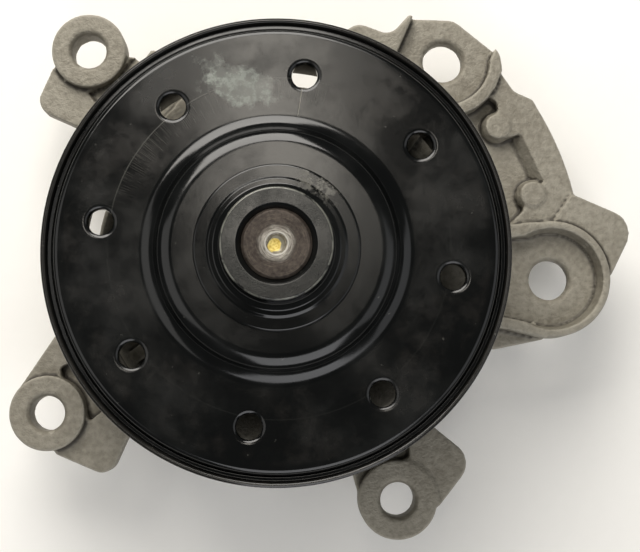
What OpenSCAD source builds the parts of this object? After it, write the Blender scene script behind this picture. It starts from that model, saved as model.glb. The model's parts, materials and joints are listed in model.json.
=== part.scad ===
// Engine coolant pump: a die-cast housing with five bolt ears, a shaft bearing, a
// spring-loaded face seal, an impeller and a pressed-steel belt pulley.
// Z = 0 is the machined mounting face. +Z runs along the shaft towards the pulley.

/* [Shaft] */
// Diameter of the bearing shaft
shaft_d = 15.92; // [13.2:0.02:19.2]
// Depth of the shaft's pulley end inside the hub's bore
shaft_sunk = 0.4; // [0.2:0.1:2]
// Length of the shaft below the impeller's bush
shaft_tail = 8; // [1:0.5:12]
// Bevel on the shaft's pulley end
shaft_bevel = 0.6; // [0.2:0.1:1]
// Diameter of the turning centre in the shaft's pulley end
centre_hole_d = 3.9; // [2:0.1:5]
// Depth of the turning centre
centre_hole_depth = 5; // [3:0.5:8]

/* [Bearing] */
// Outer diameter of the bearing ring
ring_d = 30; // [25:0.5:36]
// Length of the bearing ring
ring_len = 30; // [25:0.5:36]
// Wall of the bearing ring beside a raceway
ring_wall = 2.8; // [2.3:0.1:3.4]
// Depth of the raceways in the shaft and in the ring
race_depth = 1.055; // [0.8:0.005:1.3]
// Number of balls in a row
ball_count = 7; // [5:1:7]
// Distance from each end of the bearing ring to its ball cage
cage_inset = 3.6; // [3:0.1:4]
// Wall of a ball cage as a share of the diameter of its balls
cage_share = 0.41; // [0.3:0.01:0.45]
// Width of a bearing seal
bearing_seal_w = 1.6; // [1:0.1:2]
// Running clearance on radius between moving pieces that fit
running_fit = 0.05; // [0.02:0.01:0.08]

/* [Housing] */
// Diameter of the round middle of the housing
disc_d = 95; // [80:0.5:114]
// Thickness of the round middle
disc_h = 7; // [5.5:0.5:8.5]
// Wall of the snout around the bearing
snout_wall = 4.5; // [3:0.5:6]
// Length of the chamber between the shaft seal and the bearing
chamber_len = 2.5; // [2:0.1:3.5]
// Distance from the edge of the round middle to the cone at the foot of the snout
cone_inset = 9.5; // [8:0.5:12]
// Thickness of a stiffening rib
rib_t = 3.4; // [2:0.2:5]
// Diameter of the drain hole under the bearing
drain_d = 3.6; // [3:0.2:4.4]
// Thickness of the ear plates
plate_h = 6; // [5:0.5:7]
// Floor height of the cored pockets
pocket_z = 2.8; // [2.4:0.2:3.6]
// Height of the bolt bosses
boss_h = 8.5; // [8:0.1:10.2]
// Diameter of the two left-hand bolt bosses
boss_d = 19.4; // [18:0.2:21]
// Diameter of the lower right bolt boss
wide_boss_d = 20.4; // [18:0.2:22]
// Bolt hole diameter in the three round bosses
bolt_d = 9; // [8.4:0.2:10]
// Bolt hole diameter in the two right-hand ears
big_bolt_d = 10.5; // [9:0.5:11]
// Countersink around each bolt hole
bolt_bevel = 0.9; // [0.2:0.1:1.2]

/* [Ears] */
// Centre of the upper left bolt
ear_ul = [-50, 56]; // [-60:0.5:60]
// Centre of the lower left bolt
ear_ll = [-59.5, -39]; // [-62:0.5:62]
// Centre of the lower right bolt
ear_lr = [31, -61.3]; // [-64:0.1:64]
// Centre of the upper right bolt
ear_ur = [43.8, 54.3]; // [-58:0.1:58]
// Centre of the right-hand bolt
ear_r = [71.8, -4]; // [-76:0.1:76]
// Floor height of the upper right bolt seat
seat_ur_z = 5; // [4:0.5:6]
// Floor height of the right-hand bolt seat
seat_r_z = 4; // [3:0.5:5.5]
// Thickness of the lobe between the two right-hand ears
lobe_h = 6.6; // [5.6:0.2:7]
// Radius of the lobe's outer edge from the shaft
lobe_r = 80.4; // [79:0.2:82]

/* [Gasket] */
// Distance from the edge of the round middle to the middle of the gasket groove
gasket_inset = 4; // [3:0.1:6]
// Width of the gasket groove
groove_w = 3; // [2:0.2:3.4]
// Depth of the gasket groove
groove_depth = 2.2; // [1.6:0.2:2.6]
// Height of the gasket's bead proud of the mounting face
gasket_proud = 0.7; // [0.2:0.1:1]

/* [Shaft seal] */
// Step on radius from the bearing's bore to the seal's bore
seal_step = 0.5; // [0.2:0.1:1.5]
// Depth of the seal's bore above the recess floor
seal_depth = 7.5; // [6.5:0.5:8]
// Sheet thickness of the seal's case
case_t = 0.8; // [0.5:0.1:1]
// Clearance on radius between the shaft and the carbon ring
carbon_gap = 1.34; // [1:0.02:1.6]
// Wire diameter of the seal's spring
spring_wire = 1.5; // [1:0.1:1.7]
// Turns of the seal's spring
spring_turns = 3; // [2:0.5:4]
// Gap between the two sealing faces
face_gap = 0.1; // [0.05:0.05:0.3]

/* [Impeller] */
// Diameter of the impeller
impeller_d = 68; // [57:0.5:82]
// Thickness of the impeller's disc
impeller_disc_t = 3; // [2:0.5:4]
// Height of the impeller's vanes below the disc
vane_h = 9.5; // [7:0.5:12]
// Thickness of a vane
vane_t = 2.2; // [1.6:0.2:3]
// Number of vanes
vane_count = 7; // [5:1:9]
// Angle that a vane sweeps back
vane_sweep = 48; // [20:2:60]
// Wall of the steel bush in the impeller
bush_wall = 3.04; // [2.5:0.02:4]

/* [Pulley] */
// Diameter over the pulley's lips
pulley_d = 110.2; // [92:0.2:132]
// Distance from the pulley's web down to its front lip
lip_drop = 1.4; // [0.4:0.1:1.8]
// Gap between the bolt bosses and the back of the belt rim
rim_gap = 5.5; // [4.5:0.1:7]
// Thickness of the belt rim under the belt grooves
rim_wall = 2.3; // [1.8:0.1:3]
// Distance between two belt grooves
belt_pitch = 3.56; // [2.34:0.02:4.7]
// Depth of a belt groove
belt_groove = 2.9; // [2.4:0.1:3.1]
// Height of the pulley's raised middle above its web
raise = 4.2; // [3.4:0.1:5]
// Sheet thickness of the pulley's disc
sheet_t = 2.6; // [2:0.1:3]
// Width of the raised middle outside the hub's flange
raised_w = 4.8; // [2:0.2:6]
// Width of the slope from the raised middle to the web
slope_w = 8; // [6.5:0.5:10]
// Distance from the edge of the disc to the edge of the rim's lip
lip_w = 2.9; // [2.5:0.1:3.6]
// Bend radius of the disc's edge
edge_bend = 3.5; // [3:0.1:4]
// Distance of the circle of holes outside the middle of the flat web
hole_shift = 1.1; // [-2:0.1:2]
// Diameter of a hole in the disc
hole_d = 6.1; // [4:0.1:8]
// Number of holes in the disc
hole_count = 8; // [4:1:10]
// Angle of the first hole from +X
hole_start = -8.8; // [-22:0.2:22]

/* [Pulley hub] */
// Wall of the hub's boss around the shaft
hub_wall = 4.74; // [4:0.02:6]
// Height of the hub's front face above the disc
hub_reach = 10; // [7:0.5:14]
// Width of the hub's flange outside its boss
hub_flange_w = 6.6; // [5:0.1:8]
// Thickness of the hub's flange
hub_flange_t = 1.3; // [0.8:0.1:1.6]
// Width of the hub's seat in the disc outside its boss
hub_seat_w = 3.3; // [2.5:0.1:4.5]
// Fillet between the hub's boss and its flange
hub_fillet = 3; // [1:0.25:3]
// Bevel at the mouth of the hub's bore
hub_bevel = 1.2; // [0.4:0.1:1.6]
// Gap between the housing's snout and the hub
hub_gap = 1; // [0.5:0.1:1.4]
// Length of the hub behind the disc
hub_tail = 5.4; // [3:0.1:8]

/* [Hidden] */

$fn = 96;
arc_steps = 6;
eps = 0.01;

shaft_r = shaft_d / 2;
ring_r = ring_d / 2;
ring_bore_r = ring_r - ring_wall;
pitch_r = (shaft_r + ring_bore_r) / 2;
ball_r = (ring_bore_r - shaft_r) / 2 + race_depth;
race_r = ball_r + running_fit;
cage_r = ball_r * cage_share;
cage_half = ball_r + 0.7;
bearing_seal_r = ring_bore_r + 0.8;

seal_r = ring_r + seal_step;
recess_z = 1;
case_top = recess_z + seal_depth;
case_flange_r = seal_r + 2.7;
shoulder_z = case_top + chamber_len;
chamber_mid = case_top + chamber_len / 2;
chamber_r = ring_r - 2;
ring_top = shoulder_z + ring_len;
front_row = ring_top - cage_inset - cage_half;
rear_row = shoulder_z + cage_inset + cage_half;

disc_r = disc_d / 2;
cone_r = disc_r - cone_inset;
snout_r = ring_r + snout_wall;
gasket_r = disc_r - gasket_inset;
recess_r = gasket_r - groove_w / 2 - 4;
rib_r = disc_r - 2;
seat_r = 12.2;
seat_rib_r = seat_r + 3.3;
ears = [ear_ul, ear_ll, ear_lr, ear_ur, ear_r];

carbon_r = shaft_r + carbon_gap;
carbon_t = 3;
nose_t = 0.8;
flange_z = -1;
retainer_t = 0.6;
carbon_top = flange_z - retainer_t;
nose_z = carbon_top - carbon_t - nose_t;
mating_z = nose_z - face_gap;
mating_t = 2.8;
mating_r = carbon_r + 3.8;
boot_t = 1.2;
boot_r = mating_r + boot_t;
boot_bottom = mating_z - mating_t - boot_t;
impeller_top = mating_z - 1.5;
impeller_under = impeller_top - impeller_disc_t;
bush_bottom = impeller_under - vane_h * 0.6;
bush_r = shaft_r + bush_wall;
shaft_bottom = boot_bottom - shaft_tail;
spring_r = seal_r - case_t - spring_wire / 2 - 0.35;
spring_inner_r = spring_r - spring_wire / 2;
bellows_room = spring_inner_r - carbon_r;

hub_r = shaft_r + hub_wall;
hub_flange_r = hub_r + hub_flange_w;
hub_seat_r = hub_r + hub_seat_w;
hub_back = ring_top + hub_gap;
disc_top = hub_back + hub_tail + sheet_t;
flange_top = disc_top + hub_flange_t;
hub_top = disc_top + hub_reach;
shaft_top = hub_top - shaft_sunk;
web_z = disc_top - raise;

pulley_r = pulley_d / 2;
pulley_front = web_z - lip_drop;
rim_back = boss_h + rim_gap;
rim_seat_z = web_z - edge_bend - 2.5;
belt_r = pulley_r - 0.9;
rim_bore_r = belt_r - belt_groove - rim_wall;
rib_half = belt_pitch / 2 - 0.48;
groove_low = rim_back + 1.4 + rib_half;
groove_high = rim_seat_z - 0.5 - rib_half;
groove_count = floor((groove_high - groove_low) / belt_pitch) + 1;
disc_edge_r = pulley_r - lip_w;
raised_r = hub_flange_r + raised_w;
web_in_r = raised_r + slope_w;
web_out_r = disc_edge_r - edge_bend;
hole_circle_r = (web_in_r + web_out_r) / 2 + hole_shift;

black_coat = [0.06, 0.065, 0.065];
cast_metal = [0.62, 0.6, 0.56];
ground_steel = [0.5, 0.48, 0.45];

// The unit vector along v
function unit(v) = v / norm(v);

// Points of a round stretch about [cx, cy], from angle a to angle b
function arc(cx, cy, r, a, b, steps = arc_steps) =
    [for (i = [0 : steps]) let (t = a + (b - a) * i / steps) [cx + r * cos(t), cy + r * sin(t)]];

// The round stretch of radius r that takes corner p's place, between its neighbours
function corner(before, p, after, r) =
    let (u = unit(before - p), v = unit(after - p), half = acos(u * v) / 2)
    let (centre = p + unit(u + v) * r / sin(half))
    let (from = p + u * r / tan(half) - centre, to = p + v * r / tan(half) - centre)
    [for (i = [0 : arc_steps])
        centre + r * unit(from * (1 - i / arc_steps) + to * i / arc_steps)];

// A closed outline through corners [x, y, radius], where radius 0 is a sharp corner
function outline(c) =
    let (n = len(c), at = [for (k = c) [k.x, k.y]])
    [for (i = [0 : n - 1]) each c[i][2] == 0 ? [at[i]] :
        corner(at[(i + n - 1) % n], at[i], at[(i + 1) % n], c[i][2])];

// Corners given from an ear's centre, so that they follow it
function from_ear(ear, c) = [for (k = c) [ear.x + k.x, ear.y + k.y, k[2]]];

// A flat slab with the given corners, from z0 up to z1
module slab(corners, z0, z1) {
    translate([0, 0, z0])
        linear_extrude(z1 - z0) polygon(outline(corners));
}

// A solid turned about the shaft's axis from [radius, height] points
module turned(points) {
    rotate_extrude() polygon(points);
}

// A ring of rectangular section
module ring(outer, inner, z0, z1) {
    turned([[inner, z0], [outer, z0], [outer, z1], [inner, z1]]);
}

// ---- housing ----

// A drilled bolt hole with a countersink at the top of its seat
module bolt_hole(ear, d, top) {
    translate([ear.x, ear.y, -1]) cylinder(h = top + 2, d = d);
    translate([ear.x, ear.y, top - bolt_bevel])
        cylinder(h = bolt_bevel + eps, d1 = d, d2 = d + 2 * bolt_bevel);
}

module boss(ear, d) {
    translate([ear.x, ear.y, 0]) cylinder(h = boss_h, d = d);
}

// The upper left arm: a plate that runs from the disc past its boss
module arm_ul() {
    slab(from_ear(ear_ul, [[-9.8, -4.3, 0], [-14.4, -14.8, 4], [14, -27.2, 0], [30, -36, 0],
        [34, -16, 0], [20, -2.5, 1], [16.6, 1.6, 1], [13.6, -2.6, 0.8], [11, -0.4, 1],
        [8, -4, 0], [0, 0, 0]]), 0, plate_h);
    boss(ear_ul, boss_d);
}

// The lower left arm
module arm_ll() {
    slab(from_ear(ear_ll, [[1.6, 20.4, 0], [-8.6, 5, 0], [0, 0, 0], [2, -10.6, 0],
        [16, -16.6, 4], [26, 6, 0], [40, 20, 0], [20, 36, 0]]), 0, plate_h);
    boss(ear_ll, boss_d);
}

// The lower right arm: a low web and a raised paddle beside the boss
module arm_lr() {
    slab(from_ear(ear_lr, [[-9.7, 0, 0], [-11.5, 6.5, 0], [-21, 41, 0], [5, 36, 0],
        [9, 18, 0], [9, 0, 0]]), 0, plate_h - 1);
    slab(from_ear(ear_lr, [[0, 0, 0], [10.6, -1.8, 0], [20, 10.2, 5.5], [8.6, 19.4, 0],
        [3, 25, 0], [3.1, 11, 0.8], [0, 9.6, 0]]), 0, plate_h + 2);
    boss(ear_lr, wide_boss_d);
}

// The upper right ear: a sunk bolt seat between a ridge and a curved rib
module ear_upper_right() {
    difference() {
        slab(concat(
            from_ear(ear_ur, [[-31, -12, 0], [-29.4, 5.6, 2], [-22.8, 9.6, 4],
                [-14.2, 6.4, 4], [-9.2, 12.1, 1.4], [-7.6, 11.6, 0], [3, 11.4, 5],
                [14.8, 1.9, 4], [seat_rib_r, -3, 0]]),
            [for (p = arc(ear_ur.x, ear_ur.y, seat_rib_r, -14, -100)) [p.x, p.y, 0]],
            [[20, 10, 0]]), 0, boss_h);
        slab(from_ear(ear_ur, [[-7.2, 14, 0], [-12.3, 2.2, 0], [-20, -12, 0], [0, -seat_r, 0],
            [seat_r, 0, 0], [12.6, 0.8, 0], [14.2, 5, 0], [6, 15, 0]]), seat_ur_z, boss_h + 1);
        translate([ear_ur.x, ear_ur.y, seat_ur_z]) cylinder(h = boss_h, r = seat_r);
    }
}

// A round ejector pad that stands on a pocket's floor
module pad(at) {
    translate([at.x, at.y, 0]) {
        cylinder(h = lobe_h - 1.4, d = 8);
        translate([0, 0, lobe_h - 1.4]) cylinder(h = 1.8, d1 = 8, d2 = 6.3);
    }
}

// The thinner lobe between the two right-hand ears, with its cored pocket
module lobe() {
    edge = [for (p = arc(0, 0, lobe_r, 31, 13, 8)) [p.x, p.y, 0]];
    pads = [[58.2, 36.7], [67.2, 18.6]];
    difference() {
        slab(concat([[30, 5, 0], [20, 30, 0]],
            [for (p = arc(ear_ur.x, ear_ur.y, seat_rib_r - 1, -100, -14)) [p.x, p.y, 0]],
            from_ear(ear_ur, [[15.4, -3.3, 0], [18.8, -8.2, 3]]), [[67.6, 43.9, 2]],
            edge, [[72, 8, 0]]), 0, lobe_h);
        slab([[44, 36, 0], [56, 44.6, 0], [57.9, 43.3, 0.8], [58.4, 40.9, 0.6], [55.5, 38.8, 0],
            [60, 33.4, 0], [64.8, 34.9, 1.2], [70.6, 22.4, 0.8], [65.2, 17.5, 0],
            [64.6, 14, 0.8], [61.2, 10.8, 0], [46, 8, 0]], pocket_z, lobe_h + 1);
    }
    for (p = pads) pad(p);
    pocket_ramp([64.6, 34.4], [69.9, 22.8]);
}

// The sloping wall along the pocket's long side
module pocket_ramp(from, to) {
    run = to - from;
    translate([from.x, from.y, 0])
        rotate([0, 0, atan2(run.y, run.x)])
            rotate([90, 0, 90])
                linear_extrude(norm(run))
                    polygon([[1, 0], [-2.4, 0], [-2.4, pocket_z], [0, lobe_h], [1, lobe_h]]);
}

// The right-hand ear: a tapered round boss, its inner extension and a paddle
module ear_right() {
    slab(from_ear(ear_r, [[0, 2, 0], [15.8, 1, 0], [22.9, 15.2, 6], [5.7, 22.6, 1],
        [0.5, 15, 1]]), 0, lobe_h + 0.8);
    slab(from_ear(ear_r, [[-30, -19, 0], [-14, -18.3, 0], [-2, -15.8, 0], [-12, -10, 0],
        [-30, -8, 0]]), 0, pocket_z + 1.6);
    slab(from_ear(ear_r, [[-30, -10.5, 0], [-12.3, -13.2, 0], [-2, -15.6, 0], [0, 0, 0],
        [0, 15, 0], [-5.8, 14.9, 0], [-10.3, 14.3, 0], [-30, 13, 0]]), 0, boss_h + 0.5);
    translate([ear_r.x, ear_r.y, 0]) cylinder(h = boss_h + 0.5, r1 = 15.5, r2 = 15.2);
}

// The sunk seat of the right-hand ear, open towards the shaft
module seat_right() {
    translate([ear_r.x, ear_r.y, seat_r_z])
        cylinder(h = boss_h, r1 = 12.4, r2 = 14);
    slab(from_ear(ear_r, [[-30, -7, 0], [-11, -10.4, 0], [-3, -12.2, 0], [0, -12, 0],
        [0, 11.9, 0], [-9, 11, 0], [-30, 8, 0]]), seat_r_z, boss_h + 2);
}

// The round middle, its cone and the snout that holds the bearing
module snout() {
    lip = 1;
    turned([[0, 0], [disc_r, 0], [disc_r, disc_h - lip], [disc_r - lip, disc_h],
        [cone_r, disc_h], [cone_r - 3, disc_h + 1.2], [snout_r + 3, ring_top - 19],
        [snout_r, ring_top - 14], [snout_r, ring_top - lip], [snout_r - lip, ring_top],
        [0, ring_top]]);
}

// A triangular rib that runs from the snout out to an ear
module rib(ear) {
    rotate([0, 0, atan2(ear.y, ear.x)])
        translate([0, rib_t / 2, 0])
            rotate([90, 0, 0])
                linear_extrude(rib_t)
                    polygon([[snout_r - 2, 1], [rib_r, 1], [rib_r, disc_h + 0.5],
                        [snout_r + 7, ring_top - 16], [snout_r - 2, ring_top - 11]]);
}

module pump_body() {
    color(cast_metal)
    difference() {
        union() {
            difference() {
                union() {
                    arm_ul();
                    arm_ll();
                    arm_lr();
                }
                slab(from_ear(ear_ul, [[-0.4, -10.8, 0], [2.1, -14, 1], [14, -24, 0],
                    [26, -10, 0], [12.6, -1.4, 0], [11, -1.2, 0], [7, -7, 0]]),
                    plate_h - 1.2, plate_h + eps);
                slab(from_ear(ear_ll, [[5.1, 13, 0], [2.8, 11.8, 1], [3.4, 9, 0], [8.6, 3, 0],
                    [10.6, -2.2, 0.6], [14.1, 0.8, 0], [24, 8, 0], [16, 20, 0]]),
                    pocket_z, plate_h + eps);
            }
            boss(ear_ul, boss_d);
            boss(ear_ll, boss_d);
            ear_upper_right();
            lobe();
            ear_right();
            snout();
            for (ear = ears) rib(ear);
        }
        seat_right();
        bolt_hole(ear_ul, bolt_d, boss_h);
        bolt_hole(ear_ll, bolt_d, boss_h);
        bolt_hole(ear_lr, bolt_d, boss_h);
        bolt_hole(ear_ur, big_bolt_d, seat_ur_z);
        bolt_hole(ear_r, big_bolt_d, seat_r_z);
        translate([0, 0, -1]) cylinder(h = recess_z + 1, r = recess_r);
        translate([0, 0, -1]) cylinder(h = case_top + 1, r = seal_r);
        translate([0, 0, -1]) cylinder(h = shoulder_z + 1 + eps, r = chamber_r);
        translate([0, 0, shoulder_z]) cylinder(h = ring_len + 1, r = ring_r);
        ring(gasket_r + groove_w / 2, gasket_r - groove_w / 2, -1, groove_depth);
        translate([0, 0, chamber_mid]) rotate([90, 0, 0]) cylinder(h = disc_r, d = drain_d);
    }
}

module body_gasket() {
    half = groove_w / 2 - 0.2;
    bead = gasket_proud + 0.2;
    color([0.12, 0.12, 0.13])
    turned(concat([[gasket_r - half, groove_depth]],
        [for (p = arc(0, 0, 1, 180, 360, 8)) [gasket_r + half * p.x, 0.2 + bead * p.y]],
        [[gasket_r + half, groove_depth]]));
}

// ---- bearing ----

// A raceway's section, cut from the shaft or the ring
module raceway(z) {
    translate([pitch_r, z]) circle(r = race_r);
}

module bearing_ring() {
    recess = bearing_seal_w + 0.9;
    color(ground_steel)
    rotate_extrude() difference() {
        polygon([[ring_r, shoulder_z], [ring_r, ring_top], [bearing_seal_r, ring_top],
            [bearing_seal_r, ring_top - recess], [ring_bore_r, ring_top - recess],
            [ring_bore_r, shoulder_z + recess], [bearing_seal_r, shoulder_z + recess],
            [bearing_seal_r, shoulder_z]]);
        raceway(front_row);
        raceway(rear_row);
    }
}

// A rubber-faced seal that sits in the ring and runs on the shaft
module bearing_seal(z0, facing) {
    lip = shaft_r + running_fit;
    w = bearing_seal_w;
    translate([0, 0, z0])
        turned([for (p = [[lip, 0], [lip + 0.8, 0], [lip + 1.4, 0.5], [bearing_seal_r, 0.5],
            [bearing_seal_r, w], [lip + 1.2, w], [lip + 0.4, w - 0.3], [lip, 0.4]])
            [p.x, p.y * facing]]);
}

module front_bearing_seal() {
    color([0.25, 0.13, 0.08]) bearing_seal(ring_top - bearing_seal_w - 0.8, 1);
}

module rear_bearing_seal() {
    color([0.25, 0.13, 0.08]) bearing_seal(shoulder_z + bearing_seal_w + 0.8, -1);
}

// One row of balls
module balls(z) {
    color("silver")
    for (i = [0 : ball_count - 1])
        rotate([0, 0, i * 360 / ball_count]) translate([pitch_r, 0, z]) sphere(r = ball_r);
}

// The cage that spaces one row of balls
module cage(z) {
    color([0.75, 0.66, 0.45])
    difference() {
        ring(pitch_r + cage_r, pitch_r - cage_r, z - cage_half, z + cage_half);
        for (i = [0 : ball_count - 1])
            rotate([0, 0, i * 360 / ball_count]) translate([pitch_r, 0, z]) sphere(r = race_r);
    }
}

module front_balls() { balls(front_row); }

module front_ball_cage() { cage(front_row); }

module rear_balls() { balls(rear_row); }

module rear_ball_cage() { cage(rear_row); }

module bearing_shaft() {
    color(ground_steel)
    difference() {
        rotate_extrude() difference() {
            polygon([[0, shaft_bottom], [shaft_r - shaft_bevel, shaft_bottom],
                [shaft_r, shaft_bottom + shaft_bevel], [shaft_r, shaft_top - shaft_bevel],
                [shaft_r - shaft_bevel, shaft_top], [0, shaft_top]]);
            raceway(front_row);
            raceway(rear_row);
        }
        translate([0, 0, shaft_top - centre_hole_depth])
            cylinder(h = centre_hole_depth + 1, d = centre_hole_d);
        translate([0, 0, shaft_top - 0.6])
            cylinder(h = 0.6 + eps, d1 = centre_hole_d, d2 = centre_hole_d + 1.2);
    }
}

module water_slinger() {
    edge = chamber_r - 1.2;
    color([0.3, 0.3, 0.3])
    translate([0, 0, chamber_mid])
        turned([[shaft_r, -0.7], [shaft_r + 1.4, -0.7], [edge, 0.1], [edge, 0.5],
            [shaft_r + 1.4, 0.5], [shaft_r + 1, 0.9], [shaft_r, 0.9]]);
}

// ---- shaft seal ----

module seal_case() {
    color([0.72, 0.62, 0.36])
    turned([[case_flange_r, recess_z - case_t], [case_flange_r, recess_z], [seal_r, recess_z],
        [seal_r, case_top], [carbon_r - 0.4, case_top], [carbon_r - 0.4, case_top - case_t],
        [seal_r - case_t, case_top - case_t], [seal_r - case_t, recess_z - case_t]]);
}

module seal_bellows() {
    base = case_top - case_t;
    wall_r = carbon_r + bellows_room * 0.28;
    fold_r = carbon_r + bellows_room * 0.6;
    lip_r = carbon_r + bellows_room * 0.84;
    color([0.1, 0.1, 0.1])
    turned([[carbon_r, base], [carbon_r, flange_z], [fold_r, flange_z],
        [fold_r, flange_z + 0.8], [wall_r, flange_z + 1.2], [wall_r, base - 4.6],
        [fold_r, base - 3.6], [fold_r, base - 2.8], [wall_r, base - 2], [wall_r, base - 1.4],
        [lip_r, base - 1], [lip_r, base]]);
}

// A round wire swept along a coil between the case and the retainer
module seal_spring() {
    sides = 8;
    per_turn = 20;
    wire_r = spring_wire / 2;
    low = flange_z + wire_r;
    high = case_top - case_t - wire_r;
    rings = ceil(spring_turns * per_turn);
    points = [for (i = [0 : rings], s = [0 : sides - 1])
        let (a = 360 * spring_turns * i / rings, t = 360 * s / sides)
        let (r = spring_r + wire_r * cos(t))
        [r * cos(a), r * sin(a), low + (high - low) * i / rings + wire_r * sin(t)]];
    skin = [for (i = [0 : rings - 1], s = [0 : sides - 1])
        let (n = (s + 1) % sides, a = i * sides)
        [a + s, a + n, a + sides + n, a + sides + s]];
    color([0.6, 0.6, 0.6])
    polyhedron(points, concat(skin, [[for (s = [sides - 1 : -1 : 0]) s]],
        [[for (s = [0 : sides - 1]) rings * sides + s]]));
}

module carbon_ring() {
    color([0.15, 0.15, 0.16])
    turned([[carbon_r, carbon_top], [carbon_r + 3, carbon_top],
        [carbon_r + 3, carbon_top - carbon_t], [carbon_r + 2.2, carbon_top - carbon_t],
        [carbon_r + 2.2, nose_z], [carbon_r + 0.6, nose_z],
        [carbon_r + 0.6, carbon_top - carbon_t], [carbon_r, carbon_top - carbon_t]]);
}

module seal_retainer() {
    edge = spring_r + spring_wire / 2;
    color([0.72, 0.62, 0.36])
    turned([[carbon_r, flange_z], [edge, flange_z], [edge, carbon_top],
        [carbon_r + 3.6, carbon_top], [carbon_r + 3.6, carbon_top - carbon_t + 0.6],
        [carbon_r + 3, carbon_top - carbon_t + 0.6], [carbon_r + 3, carbon_top],
        [carbon_r, carbon_top]]);
}

module mating_ring() {
    color([0.85, 0.83, 0.78])
    ring(mating_r, carbon_r, mating_z - mating_t, mating_z);
}

module mating_ring_boot() {
    top = mating_z - 0.9;
    color([0.1, 0.1, 0.1])
    turned([[shaft_r, boot_bottom], [boot_r, boot_bottom], [boot_r, top], [mating_r, top],
        [mating_r, mating_z - mating_t], [carbon_r, mating_z - mating_t], [carbon_r, top],
        [shaft_r, top]]);
}

// ---- impeller ----

// One vane's outline: a stretch of a spiral between the bush and the rim
module vane() {
    inner = bush_r + 2;
    outer = impeller_d / 2 - 0.6;
    steps = 10;
    function mid(i) = let (t = i / steps, r = inner + (outer - inner) * t)
        [r * cos(-vane_sweep * t), r * sin(-vane_sweep * t)];
    function side(i) = let (a = mid(max(i - 1, 0)), b = mid(min(i + 1, steps)), u = unit(b - a))
        [-u.y, u.x] * vane_t / 2;
    polygon(concat([for (i = [0 : steps]) mid(i) + side(i)],
        [for (i = [steps : -1 : 0]) mid(i) - side(i)]));
}

module impeller() {
    r = impeller_d / 2;
    under = impeller_under;
    color([0.1, 0.1, 0.1])
    difference() {
        union() {
            turned([[0, impeller_top], [r - 0.6, impeller_top], [r, impeller_top - 0.6],
                [r, under + 0.6], [boot_r + 4, under], [boot_r + 2, under - 1.5],
                [bush_r + 3, bush_bottom], [0, bush_bottom]]);
            for (i = [0 : vane_count - 1])
                rotate([0, 0, i * 360 / vane_count])
                    translate([0, 0, under - vane_h])
                        linear_extrude(vane_h + 1) vane();
        }
        translate([0, 0, boot_bottom]) cylinder(h = 20, r = boot_r);
        translate([0, 0, bush_bottom - 1]) cylinder(h = 20, r = bush_r);
    }
}

module impeller_bush() {
    bevel = 0.5;
    color(ground_steel)
    turned([[shaft_r, boot_bottom], [bush_r, boot_bottom], [bush_r, bush_bottom],
        [bush_r - bevel, bush_bottom - bevel], [shaft_r + bevel, bush_bottom - bevel],
        [shaft_r, bush_bottom]]);
}

// ---- pulley ----

module pulley_hub() {
    top_bevel = 0.5;
    spigot_r = hub_seat_r - 2;
    color(black_coat)
    turned(concat([[shaft_r, hub_back], [spigot_r, hub_back], [spigot_r, disc_top - sheet_t],
        [hub_seat_r, disc_top - sheet_t], [hub_seat_r, disc_top], [hub_flange_r, disc_top],
        [hub_flange_r, flange_top - 0.3], [hub_flange_r - 0.3, flange_top]],
        arc(hub_r + hub_fillet, flange_top + hub_fillet, hub_fillet, 270, 180),
        [[hub_r, hub_top - top_bevel], [hub_r - top_bevel, hub_top],
        [shaft_r + hub_bevel, hub_top], [shaft_r, hub_top - hub_bevel]]));
}

// The disc's upper face moved down by d: the raised middle, an S-shaped slope and the edge
function disc_face(d) =
    let (bend = (slope_w * slope_w + raise * raise) / (4 * raise))
    let (turn = 2 * atan(raise / slope_w))
    concat([[hub_seat_r, disc_top - d]],
        arc(raised_r, disc_top - bend, bend - d, 90, 90 - turn),
        arc(web_in_r, web_z + bend, bend + d, 270 - turn, 270),
        arc(web_out_r, web_z - edge_bend, edge_bend - d, 90, 0),
        [[disc_edge_r - d, rim_seat_z]]);

module pulley_disc() {
    face = disc_face(0);
    back = disc_face(sheet_t);
    n = len(back) - 1;
    color(black_coat)
    difference() {
        turned(concat(face, [for (i = [n : -1 : 0]) back[i]]));
        for (i = [0 : hole_count - 1])
            rotate([0, 0, hole_start + i * 360 / hole_count])
                translate([hole_circle_r, 0, web_z - sheet_t - 1])
                    cylinder(h = sheet_t + 2, d = hole_d);
    }
}

module pulley_rim() {
    foot_half = rib_half - belt_groove * tan(20) + 0.2;
    foot_r = belt_r - belt_groove;
    mid = (groove_high + groove_low) / 2;
    grooves = [for (i = [0 : groove_count - 1])
        let (z = mid + belt_pitch * ((groove_count - 1) / 2 - i))
        each [[belt_r, z + rib_half], [foot_r, z + foot_half],
            [foot_r, z - foot_half], [belt_r, z - rib_half]]];
    color(black_coat)
    turned(concat([[rim_bore_r, rim_back], [rim_bore_r, rim_seat_z],
        [disc_edge_r + 0.15, rim_seat_z], [pulley_r - 1, pulley_front - 0.2],
        [pulley_r - 0.4, pulley_front], [pulley_r, pulley_front - 0.5],
        [pulley_r, pulley_front - 1.6], [belt_r, pulley_front - 2.4]], grooves,
        [[belt_r, rim_back + 1.4], [pulley_r, rim_back + 1], [pulley_r, rim_back + 0.4],
        [pulley_r - 0.4, rim_back]]));
}

pump_body();
body_gasket();
bearing_ring();
front_bearing_seal();
rear_bearing_seal();
seal_case();
seal_bellows();
seal_spring();
carbon_ring();
seal_retainer();
bearing_shaft();
pulley_hub();
pulley_disc();
pulley_rim();
water_slinger();
mating_ring();
mating_ring_boot();
impeller();
impeller_bush();
front_balls();
front_ball_cage();
rear_balls();
rear_ball_cage();
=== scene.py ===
"""Looks for an engine coolant pump: cast housing, bearing, face seal, impeller and belt pulley."""

import json
import math

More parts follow.
